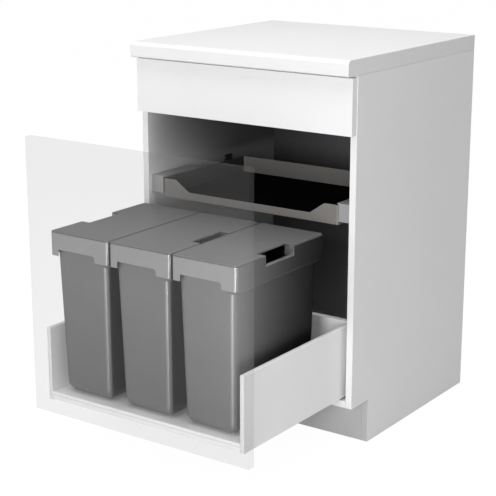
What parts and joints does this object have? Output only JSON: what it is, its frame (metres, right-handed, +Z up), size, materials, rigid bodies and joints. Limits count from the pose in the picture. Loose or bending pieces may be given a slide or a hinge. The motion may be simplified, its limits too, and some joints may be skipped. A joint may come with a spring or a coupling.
{
  "type": "pull-out waste bin base cabinet",
  "caption": "Kitchen base unit with a worktop, a translucent pull-out front on runners, lidded waste bins side by side and a sliding tray above them.",
  "frame": {"origin": "on the floor under the centre of the bounding box, with the drawer pulled out as at rest", "axes": "+Z up, +Y towards the back of the cabinet, so the drawer opens towards -Y, +X to the right of someone who faces the drawer"},
  "size_m": [0.6, 0.9596, 0.9063],
  "materials": {
    "white_board": "satin white melamine on particle board",
    "worktop_laminate": "white laminate, satin",
    "plinth_board": "satin light grey board",
    "dark_board": "matt charcoal board",
    "clear_front": "translucent, smooth",
    "white_steel": "white powder coat",
    "zinc_steel": "zinc plated",
    "bin_plastic": "moulded warm grey, fine texture",
    "lid_plastic": "moulded warm grey, fine texture",
    "tray_plastic": "moulded beige grey",
    "mat_rubber": "ribbed, matt",
    "bracket_grey": "light grey paint"
  },
  "bodies": {
    "cabinet": {"side_panel_left": "white_board", "side_panel_right": "white_board", "bottom_panel": "white_board", "back_panel": "dark_board", "top_rail_front": "white_board", "top_rail_rear": "white_board", "plinth_board": "plinth_board", "worktop": "worktop_laminate", "worktop_screw_front_left": "zinc_steel", "worktop_screw_front_right": "zinc_steel", "worktop_screw_rear_left": "zinc_steel", "worktop_screw_rear_right": "zinc_steel", "fascia_panel": "white_board", "fascia_block_left": "white_board", "fascia_block_right": "white_board", "runner_cabinet_rail_left": "zinc_steel", "runner_cabinet_rail_right": "zinc_steel", "tray_bracket_front_left": "bracket_grey", "tray_bracket_front_right": "bracket_grey", "tray_bracket_rear_left": "zinc_steel", "tray_bracket_rear_right": "zinc_steel", "tray_rail_left": "zinc_steel", "tray_rail_right": "zinc_steel"},
    "drawer": {"drawer_front": "clear_front", "drawer_side_left": "white_steel", "drawer_side_right": "white_steel", "drawer_floor": "white_board", "drawer_floor_strip": "white_board", "drawer_back": "white_board", "runner_drawer_rail_left": "zinc_steel", "runner_drawer_rail_right": "zinc_steel"},
    "middle_rails": {"runner_middle_rail_left": "zinc_steel", "runner_middle_rail_right": "zinc_steel"},
    "bin_left": {"bin_left": "bin_plastic"},
    "bin_middle": {"bin_middle": "bin_plastic"},
    "bin_right": {"bin_right": "bin_plastic"},
    "lid_left": {"lid_left": "lid_plastic"},
    "lid_middle": {"lid_middle": "lid_plastic"},
    "lid_right": {"lid_right": "lid_plastic"},
    "tray": {"tray_pan": "tray_plastic", "tray_mat": "mat_rubber", "tray_slide_left": "zinc_steel", "tray_slide_right": "zinc_steel", "tray_slide_cap_left": "bracket_grey", "tray_slide_cap_right": "bracket_grey"}
  },
  "joints": [
    {"name": "drawer_slide", "type": "slide", "parent": "cabinet", "child": "drawer", "axis": [0, -1, 0], "range_m": [-0.385, 0.04]},
    {"name": "middle_rail_slide", "type": "slide", "parent": "cabinet", "child": "middle_rails", "axis": [0, -1, 0], "range_m": [-0.1925, 0.02]},
    {"name": "bin_left_lift", "type": "slide", "parent": "drawer", "child": "bin_left", "axis": [0, 0, 1], "range_m": [0, 0.62]},
    {"name": "bin_middle_lift", "type": "slide", "parent": "drawer", "child": "bin_middle", "axis": [0, 0, 1], "range_m": [0, 0.62]},
    {"name": "bin_right_lift", "type": "slide", "parent": "drawer", "child": "bin_right", "axis": [0, 0, 1], "range_m": [0, 0.62]},
    {"name": "lid_left_lift", "type": "slide", "parent": "bin_left", "child": "lid_left", "axis": [0, 0, 1], "range_m": [0, 0.15]},
    {"name": "lid_middle_lift", "type": "slide", "parent": "bin_middle", "child": "lid_middle", "axis": [0, 0, 1], "range_m": [0, 0.15]},
    {"name": "lid_right_lift", "type": "slide", "parent": "bin_right", "child": "lid_right", "axis": [0, 0, 1], "range_m": [0, 0.15]},
    {"name": "tray_slide", "type": "slide", "parent": "cabinet", "child": "tray", "axis": [0, -1, 0], "range_m": [0, 0.23]}
  ],
  "couplings": [
    {"joint": "middle_rail_slide", "follows": "drawer_slide", "ratio": 0.5}
  ]
}
